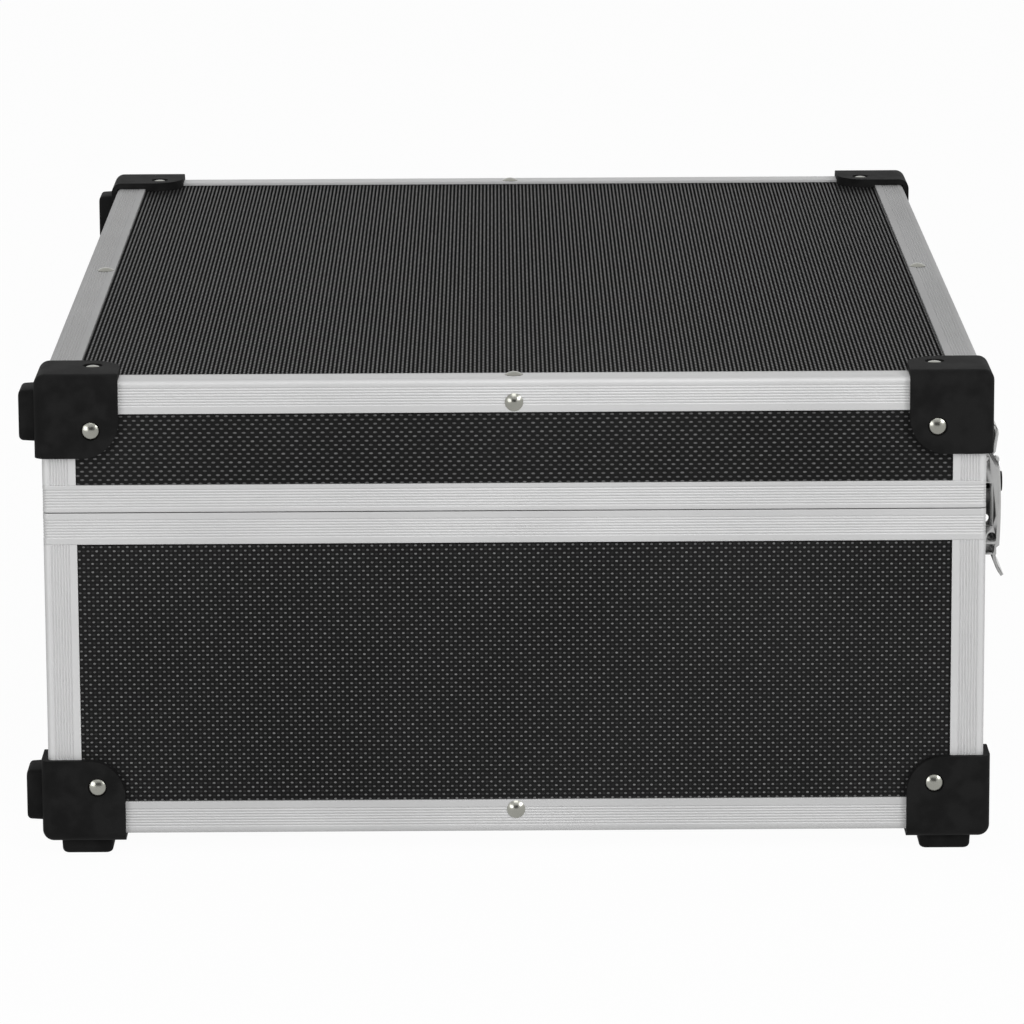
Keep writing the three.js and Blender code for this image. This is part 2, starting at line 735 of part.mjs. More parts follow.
function latchLever(y) {
  const half = latchWidth / 2;
  const bowTop = coverTop - coverEndBend;
  const bowBottom = coverBottom + coverEndBend;
  const neck = tailNeckOut - sheetThickness / 2;
  const bowed = strip([
    [coverMiddleAt(bowTop) - coverEndBend, coverTop - sheetThickness / 2],
    ...coverPath(bowTop, bowBottom, 6),
    [neck, coverBottom],
    [neck, tailRootHeight],
  ], sheetThickness);
  const inFront = [front, front + coverOut + overrun];
  const radii = Array(4).fill(coverCornerRadius);
  const low = tailRootHeight - sheetThickness / 2;
  const plan = roundedRectangle(y - half, y + half, low, coverTop, radii);
  const notchHalf = coverNotchWidth / 2;
  const notchRadii = [coverCornerRadius, coverCornerRadius, 0, 0];
  const notchTop = coverTop + overrun;
  const notch = roundedRectangle(y - notchHalf, y + notchHalf, coverNotchBottom, notchTop, notchRadii);
  const lockHole = circle(y, lockHeight, lockBodyRadius + pivotClearance);
  const sheet = cut(
    alongY(onFront(bowed), y - half, y + half).intersect(alongX(overSeam(plan), ...inFront)),
    alongX(overSeam(notch), ...inFront),
    alongX(overSeam(lockHole), ...inFront),
  );

  const eye = circle(leverPivotOut, leverPivotHeight, leverEyeRadius, smallSides);
  const [throwOut, throwHeight] = latchThrow();
  const throwEye = circle(throwOut, throwHeight, drawEyeRadius, smallSides);
  const armTop = bowTop - sheetThickness / 2;
  const armFoot = throwHeight - leverEyeRadius;
  const arm = hull([...eye, ...throwEye, [coverMiddleAt(armTop), armTop], [coverMiddleAt(armFoot), armFoot]]);
  const flangeFoot = bowBottom + sheetThickness / 2;
  const ribbon = (head, foot, depth) => {
    const edge = coverPath(head, foot, 6);
    return [...edge, ...edge.map(([out, height]) => [out - depth, height]).reverse()];
  };
  const flange = ribbon(armTop, flangeFoot, flangeStepDepth);
  const lip = ribbon(throwHeight, lugTop - sheetThickness, flangeDepth - sheetThickness / 2);
  const lugInner = coverOut - lugReach;
  const lugOuter = coverMiddleAt(lugBottom) - sheetThickness / 2;
  const lugRadii = [coverCornerRadius, 0, 0, coverCornerRadius];
  const lug = roundedRectangle(lugInner, lugOuter, lugBottom, lugTop, lugRadii);
  const bore = circle(leverPivotOut, leverPivotHeight, pivotPinRadius + pivotClearance, smallSides);
  const lugEye = circle(lugEyeOut, lugEyeHeight, lugEyeRadius, smallSides);
  const across = [y - latchWidth, y + latchWidth];
  const cheeks = cut(
    join(
      pairAt(y, flange, cheekInset, sheetThickness),
      pairAt(y, lip, cheekInset - flangeStepInset, sheetThickness),
      pairAt(y, arm, cheekInset, sheetThickness),
      pairAt(y, lug, cheekInset, sheetThickness),
    ),
    alongY(onFront(bore), ...across),
    alongY(onFront(lugEye), ...across),
  );

  const tailHalf = tailWidth / 2;
  const rise = tailRootHeight - tailBottom;
  const run = tailOut - tailNeckOut;
  const horn = [];
  const hornSteps = 5;
  for (let i = 1; i <= hornSteps; i += 1) {
    const share = i / hornSteps;
    horn.push([neck + run * share * share, tailRootHeight - rise * share]);
  }
  const tail = strip([[tailRootOut, tailRootHeight], [neck, tailRootHeight], ...horn], sheetThickness);
  const pin = circle(throwOut, throwHeight, pivotPinRadius, smallSides);
  const pinHalf = cheekInset + sheetThickness / 2;
  return join(
    sheet,
    cheeks,
    alongY(onFront(tail), y - tailHalf, y + tailHalf),
    alongY(onFront(pin), y - pinHalf, y + pinHalf),
  );
}

function latchDraw(y) {
  const [throwOut, throwHeight] = latchThrow();
  const half = drawWidth / 2;
  const middle = drawOut - sheetThickness / 2;
  const hookMiddle = hookRadius - sheetThickness / 2;
  const hookCentre = [drawOut - hookRadius, hookTop - hookRadius];
  const neck = drawNeckOut - sheetThickness / 2;
  const path = [
    [throwOut, throwHeight + drawEyeRadius - sheetThickness / 2],
    [neck, drawBend],
    [(neck + middle) / 2, drawBend / 2 + hookCentre[1] / 2],
    ...arc(...hookCentre, hookMiddle, 0, hookSweep, 10),
  ];
  const sheet = alongY(onFront(strip(path, sheetThickness)), y - half, y + half);
  const eye = alongY(onFront(circle(throwOut, throwHeight, drawEyeRadius, smallSides)), y - half, y + half);
  const bore = circle(throwOut, throwHeight, pivotPinRadius + pivotClearance, smallSides);
  return cut(join(sheet, eye), alongY(onFront(bore), y - half - overrun, y + half + overrun));
}

function latchKeeper(y) {
  const half = keeperWidth / 2;
  const middle = seatGap + sheetThickness / 2;
  const low = keeperBottom + sheetThickness / 2;
  const path = [
    [middle, keeperTop],
    [middle, low],
    [keeperLipOut - sheetThickness / 2, low],
    [keeperLipOut - sheetThickness / 2, keeperLipTop],
  ];
  return alongY(onFront(strip(path, sheetThickness)), y - half, y + half);
}

function lockBarrel(y) {
  const z = seam + lockHeight;
  const headBack = coverOut + pivotClearance / 2;
  const head = alongX(circle(y, z, lockHeadRadius), front + headBack, front + lockHeadOut);
  const body = alongX(circle(y, z, lockBodyRadius), front + lockBack, front + headBack + pivotClearance);
  const camHalf = lockCamWidth / 2;
  const camRadii = Array(4).fill(camHalf / 2);
  const camOutline = roundedRectangle(y - camHalf, y + camHalf, z - lockCamLength, z + camHalf, camRadii);
  const cam = alongX(camOutline, front + lockBack - sheetThickness, front + lockBack + seatGap);
  const slotEnds = [z - lockSlotLength / 2, z + lockSlotLength / 2];
  const slotSides = [y - lockSlotWidth / 2, y + lockSlotWidth / 2];
  const slotDepth = [front + lockHeadOut - lockSlotDepth, front + lockHeadOut + overrun];
  const slot = block(...slotDepth, ...slotSides, ...slotEnds);
  return cut(join(head, body, cam), slot);
}

function addLatches() {
  for (const [end, sign] of [['near', -1], ['far', 1]]) {
    const y = (sign * latchSpacing) / 2;
    addPiece(`latch_base_${end}`, latchBase(y), 'steel');
    addPiece(`latch_lever_${end}`, latchLever(y), 'steel');
    addPiece(`latch_draw_${end}`, latchDraw(y), 'steel');
    addPiece(`latch_keeper_${end}`, latchKeeper(y), 'steel');
    addPiece(`lock_barrel_${end}`, lockBarrel(y), 'lock');
  }
}

// Handle: a moulded grip that hangs between two steel brackets

function handleBracket(y) {
  const plateOuter = sheetThickness - panelDepth + seatGap;
  const half = bracketWidth / 2;
  const low = handlePivotHeight - bracketHeight / 2;
  const high = handlePivotHeight + bracketHeight / 2;
  const radii = Array(4).fill(coverCornerRadius);
  const plate = roundedRectangle(y - half, y + half, low, high, radii);
  const sheet = alongX(overSeam(plate), front - panelDepth + seatGap, front + plateOuter);
  const eye = circle(handlePivotOut, handlePivotHeight, bracketEyeRadius, smallSides);
  const root = plateOuter - sheetThickness / 2;
  const rootHalf = bracketHeight / 2 - sheetThickness;
  const ear = hull([...eye, [root, handlePivotHeight - rootHalf], [root, handlePivotHeight + rootHalf]]);
  const inset = handleArmWidth / 2 + bracketEarGap;
  const pin = circle(handlePivotOut, handlePivotHeight, bracketPinRadius, smallSides);
  const pinHalf = inset + sheetThickness / 2;
  return join(
    sheet,
    pairAt(y, ear, inset, sheetThickness),
    alongY(onFront(pin), y - pinHalf, y + pinHalf),
  );
}

function handleGrip() {
  const outerY = handleSpacing / 2 + handleArmWidth / 2;
  const innerY = handleSpacing / 2 - handleArmWidth / 2;
  const low = seam + handlePivotHeight - handleDrop;
  const gripTop = low + handleGripHeight;
  const high = seam + handlePivotHeight + handleEyeRise;
  const armRadius = handleEyeRise;
  const outline = [
    ...arc(-outerY + handleCornerRadius, low + handleCornerRadius, handleCornerRadius, 180, 270, 4),
    ...arc(outerY - handleCornerRadius, low + handleCornerRadius, handleCornerRadius, 270, 360, 4),
    ...arc(outerY - armRadius, high - armRadius, armRadius, 0, 90, 3),
    ...arc(innerY + armRadius, high - armRadius, armRadius, 90, 180, 3),
    ...arc(innerY - handleInnerRadius, gripTop + handleInnerRadius, handleInnerRadius, 0, -90, 3),
    ...arc(-innerY + handleInnerRadius, gripTop + handleInnerRadius, handleInnerRadius, 270, 180, 3),
    ...arc(-innerY - armRadius, high - armRadius, armRadius, 0, 90, 3),
    ...arc(-outerY + armRadius, high - armRadius, armRadius, 90, 180, 3),
  ];
  const x = front + handlePivotOut;
  const whole = alongX(outline, x - handleThickness / 2, x + handleThickness / 2, handleBevel);
  const bore = circle(handlePivotOut, handlePivotHeight, bracketPinRadius + pivotClearance, smallSides);
  return cut(whole, alongY(onFront(bore), -outerY - overrun, outerY + overrun));
}

function addHandle() {
  for (const [end, sign] of [['near', -1], ['far', 1]]) {
    addPiece(`handle_bracket_${end}`, handleBracket((sign * handleSpacing) / 2), 'steel');
  }
  addPiece('handle_grip', handleGrip(), 'handle');
}

addPanels();
addEdges();
addRims();
addGuards();
addHinges();
addStays();
addLiners();
addLatches();
addHandle();

// The origin is the middle of the outer box, on the floor
const bounds = new THREE.Box3().setFromObject(toolCase);
const middle = bounds.getCenter(new THREE.Vector3());
toolCase.position.set(-middle.x, -middle.y, -bounds.min.z);

export default toolCase;
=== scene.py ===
# %% [markdown]
# # A tool case with an aluminium edge frame
#
# The case is a thin-walled box in two shells. Textured boards slide into aluminium angles, moulded
# guards cap the eight corners, and rivets hold it all together. Two key latches, two hinges and two
# slotted stays let the lid open. This lesson dresses the measured solids with finer surfaces, piece
# by piece, and gives each finish a material made of nodes.
#
# The frame comes first. It says where every solid lies and which body carries it, so a piece built
# from a node's own box can't drift away from the model. All lengths are in metres, and `mm` keeps
# the small ones readable.

import json
import math

import bmesh
import bpy
import numpy as np
from mathutils import Matrix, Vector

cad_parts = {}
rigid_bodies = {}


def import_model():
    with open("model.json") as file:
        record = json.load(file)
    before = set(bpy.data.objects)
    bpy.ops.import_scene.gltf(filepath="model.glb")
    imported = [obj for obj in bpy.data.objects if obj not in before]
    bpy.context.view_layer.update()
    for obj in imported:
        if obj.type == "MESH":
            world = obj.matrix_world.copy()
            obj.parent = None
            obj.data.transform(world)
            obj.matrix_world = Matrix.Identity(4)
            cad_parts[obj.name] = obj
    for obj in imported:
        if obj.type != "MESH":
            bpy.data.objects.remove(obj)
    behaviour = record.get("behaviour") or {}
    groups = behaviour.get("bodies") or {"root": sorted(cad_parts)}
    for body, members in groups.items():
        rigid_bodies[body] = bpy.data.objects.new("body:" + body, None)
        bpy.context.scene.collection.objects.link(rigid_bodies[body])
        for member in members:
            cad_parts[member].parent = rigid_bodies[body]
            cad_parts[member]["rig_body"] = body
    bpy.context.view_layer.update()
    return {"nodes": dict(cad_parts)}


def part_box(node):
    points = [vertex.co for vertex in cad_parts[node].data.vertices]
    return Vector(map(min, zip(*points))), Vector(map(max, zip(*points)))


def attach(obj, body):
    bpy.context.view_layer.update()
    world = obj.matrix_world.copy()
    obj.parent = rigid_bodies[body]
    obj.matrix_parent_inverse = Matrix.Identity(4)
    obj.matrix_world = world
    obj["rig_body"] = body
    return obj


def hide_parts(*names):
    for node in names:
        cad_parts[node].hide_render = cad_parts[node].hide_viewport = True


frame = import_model()
mm = 0.001

# %% [markdown]
# ## The camera
#
# A product picture of a case is taken with a long lens, so that its edges stay nearly parallel. The
# camera stands two metres away and looks down by twelve degrees. Its three axes are written as the
# columns of a rotation, which is safer than three angles in a certain order.

# %% The camera
camera_place = (-0.0089, -2.2402, 0.5515)
camera_right = (0.99998172, -0.00329542, -0.00507009)
camera_up = (0.00564493, 0.20811882, 0.97808726)
camera_back = (-0.00216802, -0.978098, 0.20813362)
focal_pixels = 5879
frame_pixels = 1024

camera_data = bpy.data.cameras.new("camera")
camera_data.sensor_width = 36
camera_data.lens = focal_pixels / frame_pixels * camera_data.sensor_width
camera = bpy.data.objects.new("camera", camera_data)
turn = Matrix((camera_right, camera_up, camera_back)).transposed().to_4x4()
camera.matrix_world = Matrix.Translation(camera_place) @ turn
bpy.context.scene.collection.objects.link(camera)
bpy.context.scene.camera = camera
print("lens in millimetres:", round(camera_data.lens, 2))

# %% [markdown]
# ## Small tools for node trees
#
# A material is a tree of nodes. Writing `tree.nodes.new` and `tree.links.new` for every step hides
# the idea behind it, so three helpers add a node with its inputs in one line each: `add_node` for
# any kind, `calc` for arithmetic and `blend_colours` for mixing two colours by a mask.

# %% Node helpers
def connect(tree, socket, value):
    """Links a socket to an output, or sets it to a plain value."""
    if isinstance(value, bpy.types.NodeSocket):
        tree.links.new(value, socket)
    else:
        socket.default_value = value


def add_node(tree, kind, inputs=None, **settings):
    """Adds a node with its settings and inputs. Inputs go by name or number."""
    node = tree.nodes.new(kind)
    for key, value in settings.items():
        setattr(node, key, value)
    for key, value in (inputs or {}).items():
        connect(tree, node.inputs[key], value)
    return node


def calc(tree, operation, first, second=0.0, third=0.0):
    """One step of arithmetic, as the node's output."""
    values = {0: first, 1: second, 2: third}
    return add_node(tree, "ShaderNodeMath", values, operation=operation).outputs[0]


def ramp(tree, value, low, high, smooth=True):
    """Turns a value from low to high into 0 to 1."""
    kind = "SMOOTHSTEP" if smooth else "LINEAR"
    inputs = {"Value": value, "From Min": low, "From Max": high}
    return add_node(tree, "ShaderNodeMapRange", inputs, interpolation_type=kind).outputs[0]


def blend_colours(tree, mask, first, second):
    """Mixes two colours: the first where the mask is 0, the second where it is 1."""
    node = add_node(tree, "ShaderNodeMix", data_type="RGBA")
    connect(tree, node.inputs["Factor"], mask)
    connect(tree, node.inputs[6], first)
    connect(tree, node.inputs[7], second)
    return node.outputs[2]


def object_point(tree):
    """The point on the piece in the object's own frame, which is the same for every piece."""
    return add_node(tree, "ShaderNodeTexCoord").outputs["Object"]


def grey(level):
    """A neutral colour from its picture level, 0 to 255, turned into linear light."""
    share = level / 255
    linear = share / 12.92 if share <= 0.04045 else ((share + 0.055) / 1.055) ** 2.4
    return (linear, linear, linear, 1)


# %% [markdown]
# ## Shared effects as node groups
#
# Four effects come back in several finishes. `uneven_tone` is the faint cloudiness that keeps a
# large face from looking painted by a computer. `moulded_grain` is the fine pitted skin of pressed
# plastic. `drawn_lines` are the hair-fine marks that a die leaves along an extruded or pressed metal
# part. `raised_dots` is the board's skin: rows of small ovals, each row moved on by half a step.
# A group is built once, and each material places it with its own numbers.

# %% Group maker
def make_group(name, inputs, outputs):
    """An empty node group with number or vector inputs and number outputs."""
    group = bpy.data.node_groups.new(name, "ShaderNodeTree")
    for label, default in inputs:
        kind = "NodeSocketVector" if default is None else "NodeSocketFloat"
        socket = group.interface.new_socket(name=label, in_out="INPUT", socket_type=kind)
        if default is not None:
            socket.default_value = default
    for label in outputs:
        group.interface.new_socket(name=label, in_out="OUTPUT", socket_type="NodeSocketFloat")
    entry = group.nodes.new("NodeGroupInput")
    result = group.nodes.new("NodeGroupOutput")
    return group, entry.outputs, result.inputs


def noise(tree, point, scale, detail):
    """Cloudy noise between 0 and 1, with its own mean near a half."""
    inputs = {"Vector": point, "Scale": scale, "Detail": detail}
    return add_node(tree, "ShaderNodeTexNoise", inputs).outputs["Fac"]


def place_group(tree, group, inputs):
    """Puts a group into a material and returns its outputs."""
    node = add_node(tree, "ShaderNodeGroup", node_tree=group)
    for key, value in inputs.items():
        connect(tree, node.inputs[key], value)
    return node.outputs


# %% The uneven tone group
uneven_tone, entry, result = make_group("uneven_tone", [("Point", None), ("Scale", 12)], ["Mask"])
broad = noise(uneven_tone, entry["Point"], entry["Scale"], 3)
connect(uneven_tone, result["Mask"], ramp(uneven_tone, broad, 0.3, 0.7))

# %% The moulded grain group
patch_share = 0.09
grain_sockets = [("Point", None), ("Size", 1400)]
moulded_grain, entry, result = make_group("moulded_grain", grain_sockets, ["Height", "Mask"])
pits = noise(moulded_grain, entry["Point"], entry["Size"], 2)
patch_size = calc(moulded_grain, "MULTIPLY", entry["Size"], patch_share)
patches = noise(moulded_grain, entry["Point"], patch_size, 2)
connect(moulded_grain, result["Height"], calc(moulded_grain, "ADD", pits, patches))
connect(moulded_grain, result["Mask"], ramp(moulded_grain, patches, 0.35, 0.65))

# %% The drawn lines group
line_scale = 1600
line_sockets = [("Point", None), ("Along X", 1), ("Along Y", 1), ("Along Z", 1)]
drawn_lines, entry, result = make_group("drawn_lines", line_sockets, ["Height"])
parts = add_node(drawn_lines, "ShaderNodeSeparateXYZ", {0: entry["Point"]}).outputs
stretched = [calc(drawn_lines, "MULTIPLY", parts[i], entry[i + 1]) for i in range(3)]
squeezed = add_node(drawn_lines, "ShaderNodeCombineXYZ", dict(enumerate(stretched))).outputs[0]
connect(drawn_lines, result["Height"], noise(drawn_lines, squeezed, line_scale, 2))

# %% The raised dots group
dot_pitch = 3.06 * mm
dot_row = 1.5 * mm
dot_half_length = 0.9 * mm
dot_half_width = 0.41 * mm
dot_sockets = [("Across", 0), ("Up", 0), ("Pitch", dot_pitch), ("Row", dot_row)]
dot_sockets += [("Half Length", dot_half_length), ("Half Width", dot_half_width)]
raised_dots, entry, result = make_group("raised_dots", dot_sockets, ["Mask", "Height"])
rows = calc(raised_dots, "DIVIDE", entry["Up"], entry["Row"])
odd_row = calc(raised_dots, "MODULO", calc(raised_dots, "FLOOR", rows), 2)
steps = calc(raised_dots, "DIVIDE", entry["Across"], entry["Pitch"])
steps = calc(raised_dots, "MULTIPLY_ADD", odd_row, 0.5, steps)
# The two squared shares add up to 1 on the outline of an oval.
squares = []
for count, pitch, half in ((steps, "Pitch", "Half Length"), (rows, "Row", "Half Width")):
    from_middle = calc(raised_dots, "SUBTRACT", calc(raised_dots, "FRACT", count), 0.5)
    length = calc(raised_dots, "MULTIPLY", from_middle, entry[pitch])
    share = calc(raised_dots, "DIVIDE", length, entry[half])
    squares.append(calc(raised_dots, "MULTIPLY", share, share))
away = calc(raised_dots, "ADD", *squares)
colour_edge, colour_full, relief_edge = 1.15, 0.35, 1.5
connect(raised_dots, result["Mask"], ramp(raised_dots, away, colour_edge, colour_full))
connect(raised_dots, result["Height"], ramp(raised_dots, away, relief_edge, 0))
print("groups:", [g.name for g in bpy.data.node_groups])

# %% [markdown]
# ## The finishes
#
# Every finish starts from the Principled shader. Numbers that are the same all over a surface are
# set on the shader itself. Only what changes from point to point comes through nodes.

# %% Material maker
def new_material(name, roughness, metallic=0.0, **plain):
    """A material with its tree and its main shader. Plain values go to the shader's sockets."""
    made = bpy.data.materials.new(name)
    made.use_nodes = True
    shader = made.node_tree.nodes["Principled BSDF"]
    shader.inputs["Roughness"].default_value = roughness
    shader.inputs["Metallic"].default_value = metallic
    for key, value in plain.items():
        shader.inputs[key.replace("_", " ")].default_value = value
    return made, made.node_tree, shader.inputs


def bump(tree, shader, height, distance):
    """Tilts the shading by a height map. The distance is the real height of the relief."""
    inputs = {"Height": height, "Distance": distance, "Strength": 1.0}
    tree.links.new(add_node(tree, "ShaderNodeBump", inputs).outputs[0], shader["Normal"])


# %% [markdown]
# ### Aluminium angles
#
# The angles are extruded and anodised to a soft satin. Light slides along them, because the die
# leaves hair-fine lines in the direction of the profile. So each direction has its own material,
# all from one function, and the noise is stretched five hundred times along it. Each direction also
# has its own level, which is painted light and shade for how its lines catch the lamps. The rims
# run both ways round the case. The two upper end edges are painted a shade lighter, and their top
# faces lighter still: a painted highlight for the lamp above.

# %% Aluminium
line_stretch = 500
line_relief = 0.01 * mm
line_roughness = 0.16
least_roughness = 0.44
cloud_step = 3
end_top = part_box("top_edge_near")[1][2]
# The heights over which the painted highlight on the end edges' top faces fades in.
painted_light_fade_low = end_top - 1.0 * mm
painted_light_fade_high = end_top - 0.3 * mm


def aluminium(name, axes, level, painted_top_light=None):
    """Satin aluminium with its picture level. The drawn lines keep their height along the axes.
    With a top level, the faces that lie on top of the case are painted that level instead: a
    painted highlight for the lamp above."""
    made, tree, shader = new_material(name, roughness=0.5, metallic=0.4, Specular_IOR_Level=0)
    point = object_point(tree)
    tone = place_group(tree, uneven_tone, {"Point": point, "Scale": 14})["Mask"]
    stretch = {f"Along {letter}": 1 / line_stretch if letter in axes else 1 for letter in "XYZ"}
    lines = place_group(tree, drawn_lines, {"Point": point, **stretch})["Height"]
    colour = blend_colours(tree, tone, grey(level - cloud_step), grey(level + cloud_step))
    # Painted highlight: the faces on top of the case are painted lighter, for the lamp above.
    if painted_top_light:
        height = add_node(tree, "ShaderNodeSeparateXYZ", {0: point}).outputs[2]
        upper = ramp(tree, height, painted_light_fade_low, painted_light_fade_high)
        colour = blend_colours(tree, upper, colour, grey(painted_top_light))
    connect(tree, shader["Base Color"], colour)
    rough = calc(tree, "MULTIPLY_ADD", lines, line_roughness, least_roughness)
    connect(tree, shader["Roughness"], rough)
    bump(tree, shader, lines, line_relief)
    return made


# Painted light and shade: the same satin is painted darkest where its lines run along Y and lightest on
# the uprights, for how each direction catches the lamps.
satin_painted_light_levels = {"X": 197, "Y": 184, "Z": 208}
satin = {a: aluminium(f"aluminium_along_{a.lower()}", a, satin_painted_light_levels[a]) for a in "XYZ"}
# The upper end edges are painted lighter than the lower ones, and lighter still on top: painted light.
end_top_painted_light = aluminium("aluminium_end_tops_painted_light", "X", level=203, painted_top_light=215)
rim_satin = aluminium("aluminium_round_the_rim", "XY", level=201)
print("aluminium:", len(satin) + 2, "materials")

# %% [markdown]
# ### Textured board
#
# The boards are faced with a black film that is pressed into rows of small ovals. About three
# millimetres separate two ovals in a row, and the rows lie half as far apart. A fainter oval lies
# between each two. The tops of the ovals are painted lighter than the film between them, a painted
# highlight for the light they catch, whose brightness varies at random. One group serves every
# board. The ovals are short on the walls, longer on the lid's walls and longest on the flat boards,
# and their painted highlights are brightest on the walls.

# %% Board skins
film_levels = (31, 36)
painted_sheen_step = 40
oval_coat = 0.5
oval_relief = 0.3 * mm


def board_skin(name, across, up, half_length, painted_highlight_level, faint_share=0.03):
    """Black film with raised ovals whose tops carry a painted highlight. Across and up are the axes of
    the face, 0 to 2.
    """
    made, tree, shader = new_material(name, roughness=0.6, Specular_IOR_Level=0, Coat_Roughness=0.3)
    point = object_point(tree)
    axes = add_node(tree, "ShaderNodeSeparateXYZ", {0: point}).outputs
    sockets = {"Across": axes[across], "Up": axes[up], "Half Length": half_length}
    dots = place_group(tree, raised_dots, sockets)
    between = calc(tree, "ADD", axes[across], dot_pitch / 2)
    faint = place_group(tree, raised_dots, {**sockets, "Across": between})
    mask = calc(tree, "MULTIPLY_ADD", faint["Mask"], faint_share, dots["Mask"])
    tone = place_group(tree, uneven_tone, {"Point": point, "Scale": 9})["Mask"]
    # Painted highlight: the ovals' tops are painted lighter than the film, with a random tone in their
    # brightness.
    painted_sheen_tone = place_group(tree, uneven_tone, {"Point": point, "Scale": 420})["Mask"]
    film = blend_colours(tree, tone, *(grey(level) for level in film_levels))
    top = blend_colours(tree, painted_sheen_tone, grey(painted_highlight_level - painted_sheen_step), grey(painted_highlight_level))
    connect(tree, shader["Base Color"], blend_colours(tree, mask, film, top))
    connect(tree, shader["Coat Weight"], calc(tree, "MULTIPLY", dots["Mask"], oval_coat))
    bump(tree, shader, dots["Height"], oval_relief)
    return made


# The highlight levels are painted highlights on the ovals' tops, brightest on the walls.
wall_ovals = {"half_length": 0.58 * mm, "painted_highlight_level": 124, "faint_share": 0.11}
lid_wall_ovals = {"half_length": 0.78 * mm, "painted_highlight_level": 108}
flat_ovals = {"half_length": 1.25 * mm, "painted_highlight_level": 106}
end_skin = board_skin("board_skin_ends", 0, 2, **wall_ovals)
side_skin = board_skin("board_skin_sides", 1, 2, **wall_ovals)
lid_end_skin = board_skin("board_skin_lid_ends", 0, 2, **lid_wall_ovals)
lid_side_skin = board_skin("board_skin_lid_sides", 1, 2, **lid_wall_ovals)
flat_skin = board_skin("board_skin_flat", 1, 0, **flat_ovals)

# %% [markdown]
# ### Moulded plastic, nickel and lining
#
# Guards, handle and lock face are black plastic that differ only in shade, gloss and grain, so one
# function makes all three. Rivets, latches, hinges and stays are nickel-plated steel: a faint warm
# grey with fine drawn lines. The lining is a thin grey felt, a fuzzy noise in colour and height.

# %% Moulded plastic
grain_step = 8
grain_roughness = 0.08


def moulded_plastic(name, level, roughness, size, relief):
    """Black plastic with a pressed grain of a given size and height."""
    made, tree, shader = new_material(name, roughness, Specular_IOR_Level=0.04)
    grain = place_group(tree, moulded_grain, {"Point": object_point(tree), "Size": size})
    colour = blend_colours(tree, grain["Mask"], grey(level), grey(level + grain_step))
    connect(tree, shader["Base Color"], colour)
    rough = calc(tree, "MULTIPLY_ADD", grain["Mask"], grain_roughness, roughness)
    connect(tree, shader["Roughness"], rough)
    bump(tree, shader, grain["Height"], relief)
    return made


guard_plastic = moulded_plastic("guard_plastic", level=25, roughness=0.62, size=1500, relief=0.07 * mm)
handle_plastic = moulded_plastic("handle_plastic", level=24, roughness=0.56, size=1100, relief=0.05 * mm)
lock_plastic = moulded_plastic("lock_plastic", level=14, roughness=0.3, size=2400, relief=0.008 * mm)

# %% Nickel and felt
tarnish_step = 12
mark_relief = 0.006 * mm
mark_stretch = 25
felt_levels = (52, 66)
felt_relief = 0.2 * mm


def warm_grey(level, blue):
    """A grey from its picture level, whose blue part is lowered to a share."""
    light = grey(level)[0]
    return (light, light, light * blue, 1)


def nickel_plate(name, level, roughness, blue=0.99):
    """Nickel on steel, with fine marks and a faint cloud. Less blue makes it warmer."""
    made, tree, shader = new_material(name, roughness, metallic=1.0)
    point = object_point(tree)
    tone = place_group(tree, uneven_tone, {"Point": point, "Scale": 60})["Mask"]
    dull, bright = warm_grey(level - tarnish_step, blue), warm_grey(level, blue)
    connect(tree, shader["Base Color"], blend_colours(tree, tone, dull, bright))
    lines = place_group(tree, drawn_lines, {"Point": point, "Along Y": 1 / mark_stretch})["Height"]
    bump(tree, shader, lines, mark_relief)
    return made


bright_nickel = nickel_plate("bright_nickel", level=172, roughness=0.2)
worn_nickel = nickel_plate("worn_nickel", level=180, roughness=0.32)
rivet_nickel = nickel_plate("rivet_nickel", level=152, roughness=0.22, blue=0.9)

felt, tree, shader = new_material("grey_felt", roughness=0.95)
fuzz = place_group(tree, moulded_grain, {"Point": object_point(tree), "Size": 2600})
fuzz_colour = blend_colours(tree, fuzz["Mask"], *(grey(level) for level in felt_levels))
connect(tree, shader["Base Color"], fuzz_colour)
bump(tree, shader, fuzz["Height"], felt_relief)
print("materials:", [m.name for m in bpy.data.materials if m.use_nodes])

# %% [markdown]
# ## Tools for shapes
#
# A shape here is an array of points on a grid, and its faces follow from the grid's size. `weave`
# returns the faces for a grid that may close on itself in either direction. `make_piece` turns
# points and faces into an object, merges what coincides, makes every face point outwards, keeps
# edges over a certain angle sharp, and lets the piece ride on its body. `round_edges` gives a piece
# the narrow bevels that catch light.

# %% Mesh tools
same_point = 1e-7


def weave(rows, columns, close_rows=False, close_columns=False):
    """Four-cornered faces of a grid of points, numbered row by row."""
    row = np.arange(rows if close_rows else rows - 1)[:, None]
    column = np.arange(columns if close_columns else columns - 1)[None, :]
    next_row = (row + 1) % rows
    next_column = (column + 1) % columns
    places = ((row, column), (row, next_column), (next_row, next_column), (next_row, column))
    return np.stack([(r * columns + c).ravel() for r, c in places], 1).tolist()


def make_piece(name, points, faces, finish, body, slot, stands_for=(), sharp=32):
    """Makes one finished piece from points in metres and faces as lists of numbers."""
    mesh = bpy.data.meshes.new(name)
    mesh.from_pydata(np.asarray(points).reshape(-1, 3).tolist(), [], faces)
    work = bmesh.new()
    work.from_mesh(mesh)
    bmesh.ops.remove_doubles(work, verts=work.verts, dist=same_point)
    bmesh.ops.recalc_face_normals(work, faces=work.faces)
    work.to_mesh(mesh)
    work.free()
    mesh.polygons.foreach_set("use_smooth", np.ones(len(mesh.polygons), bool))
    mesh.set_sharp_from_angle(angle=math.radians(sharp))
    mesh.materials.append(finish)
    piece = bpy.data.objects.new(name, mesh)
    bpy.context.scene.collection.objects.link(piece)
    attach(piece, body)
    if stands_for:
        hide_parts(*stands_for)
    return piece


